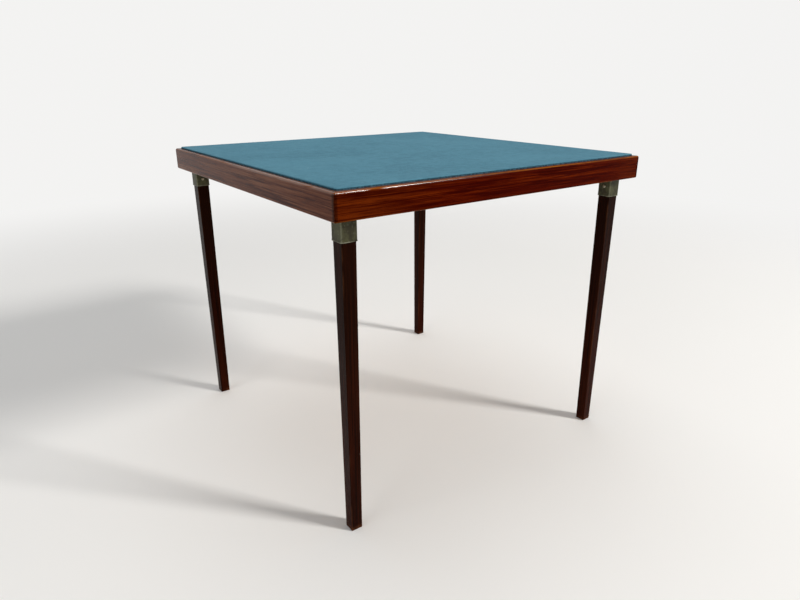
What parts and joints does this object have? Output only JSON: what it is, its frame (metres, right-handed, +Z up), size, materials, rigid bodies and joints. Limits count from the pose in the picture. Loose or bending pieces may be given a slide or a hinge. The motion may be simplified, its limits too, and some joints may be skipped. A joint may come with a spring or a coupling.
{
  "type": "folding card table",
  "caption": "Square folding card table: baize panel in a mitred wooden frame, on tapered legs whose steel-sleeved heads pivot in corner brackets and fold inside the frame.",
  "frame": {"origin": "on the floor, under the middle of the table top", "axes": "+Z up, -Y towards the front rail, +X towards the right rail"},
  "size_m": [0.762, 0.762, 0.6563],
  "materials": {
    "rail_wood": "gloss varnish over a red-brown stain",
    "leg_wood": "satin varnish over a dark brown stain",
    "panel_board": "bare plywood",
    "baize": "teal woollen baize with a short nap",
    "sleeve_steel": "dull grey plating with an olive tint",
    "bracket_steel": "dull zinc plating",
    "spring_steel": "blued spring steel",
    "pin_steel": "bright steel, slightly worn",
    "screw_steel": "plated steel, slightly tarnished"
  },
  "bodies": {
    "frame": {"front_rail": "rail_wood", "right_rail": "rail_wood", "back_rail": "rail_wood", "left_rail": "rail_wood", "top_panel": "panel_board", "baize_cover": "baize", "panel_screws": "screw_steel", "corner_bracket_front_left": "bracket_steel", "bracket_screws_front_left": "screw_steel", "leg_spring_front_left": "spring_steel", "spring_rivets_front_left": "screw_steel", "hinge_pin_front_left": "pin_steel", "hinge_washers_front_left": "pin_steel", "corner_bracket_front_right": "bracket_steel", "bracket_screws_front_right": "screw_steel", "leg_spring_front_right": "spring_steel", "spring_rivets_front_right": "screw_steel", "hinge_pin_front_right": "pin_steel", "hinge_washers_front_right": "pin_steel", "corner_bracket_back_right": "bracket_steel", "bracket_screws_back_right": "screw_steel", "leg_spring_back_right": "spring_steel", "spring_rivets_back_right": "screw_steel", "hinge_pin_back_right": "pin_steel", "hinge_washers_back_right": "pin_steel", "corner_bracket_back_left": "bracket_steel", "bracket_screws_back_left": "screw_steel", "leg_spring_back_left": "spring_steel", "spring_rivets_back_left": "screw_steel", "hinge_pin_back_left": "pin_steel", "hinge_washers_back_left": "pin_steel"},
    "folding_leg_front_left": {"leg_front_left": "leg_wood", "leg_sleeve_front_left": "sleeve_steel", "sleeve_screws_front_left": "screw_steel"},
    "folding_leg_front_right": {"leg_front_right": "leg_wood", "leg_sleeve_front_right": "sleeve_steel", "sleeve_screws_front_right": "screw_steel"},
    "folding_leg_back_right": {"leg_back_right": "leg_wood", "leg_sleeve_back_right": "sleeve_steel", "sleeve_screws_back_right": "screw_steel"},
    "folding_leg_back_left": {"leg_back_left": "leg_wood", "leg_sleeve_back_left": "sleeve_steel", "sleeve_screws_back_left": "screw_steel"}
  },
  "joints": [
    {"name": "fold_front_left", "type": "hinge", "parent": "frame", "child": "folding_leg_front_left", "pos_m": [-0.3405, -0.3405, 0.6267], "axis": [0, -1, 0], "range_deg": [0, 90], "deforming": ["leg_spring_front_left"]},
    {"name": "fold_front_right", "type": "hinge", "parent": "frame", "child": "folding_leg_front_right", "pos_m": [0.3405, -0.3405, 0.6267], "axis": [1, 0, 0], "range_deg": [0, 90], "deforming": ["leg_spring_front_right"]},
    {"name": "fold_back_right", "type": "hinge", "parent": "frame", "child": "folding_leg_back_right", "pos_m": [0.3405, 0.3405, 0.6267], "axis": [0, 1, 0], "range_deg": [0, 90], "deforming": ["leg_spring_back_right"]},
    {"name": "fold_back_left", "type": "hinge", "parent": "frame", "child": "folding_leg_back_left", "pos_m": [-0.3405, 0.3405, 0.6267], "axis": [-1, 0, 0], "range_deg": [0, 90], "deforming": ["leg_spring_back_left"]}
  ]
}
